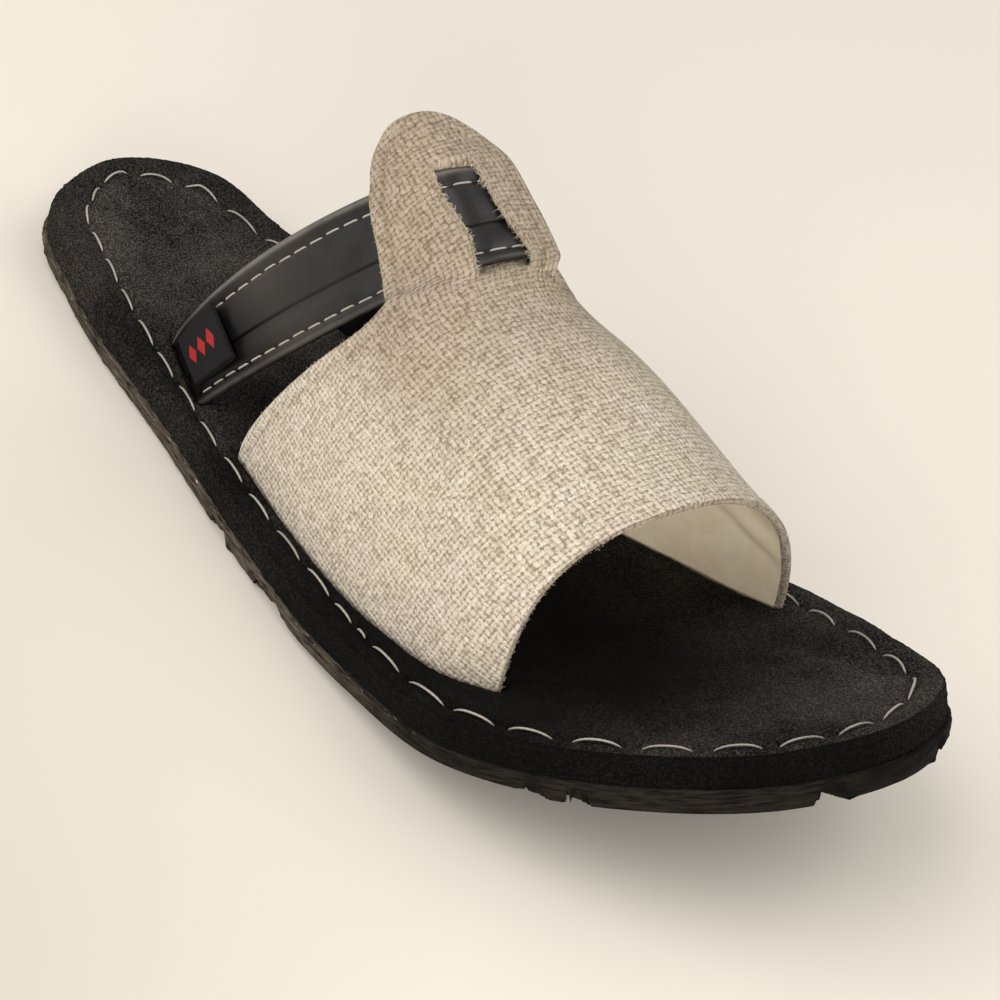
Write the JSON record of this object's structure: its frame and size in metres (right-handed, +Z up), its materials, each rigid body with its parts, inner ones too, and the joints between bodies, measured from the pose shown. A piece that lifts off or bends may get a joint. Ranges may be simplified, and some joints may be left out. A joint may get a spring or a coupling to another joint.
{
  "type": "slip-on sandal",
  "caption": "Slip-on sandal with a hemp canvas vamp and tongue, a stitched instep strap threaded through it, and a black suede footbed on a tyre-rubber sole with turned-up toe.",
  "frame": {"origin": "on the floor under the middle of the sole's outline", "axes": "+X to the toe, +Y to the medial (inner) side, +Z up from the floor"},
  "size_m": [0.2757, 0.1039, 0.0929],
  "materials": {
    "tyre_rubber": "worn matte black rubber with brown-grey scuffs",
    "black_foam": "matte black foam, rough cut edge",
    "black_suede": "matte black suede with a fine nap",
    "hemp_canvas": "undyed plain-weave hemp canvas with slubs",
    "black_strap": "smooth satin black",
    "black_tag": "matte black woven tape"
  },
  "bodies": {
    "root": {"outsole": "tyre_rubber", "midsole": "black_foam", "insole": "black_suede", "vamp": "hemp_canvas", "strap": "black_strap", "strap_tag": "black_tag"}
  },
  "joints": []
}
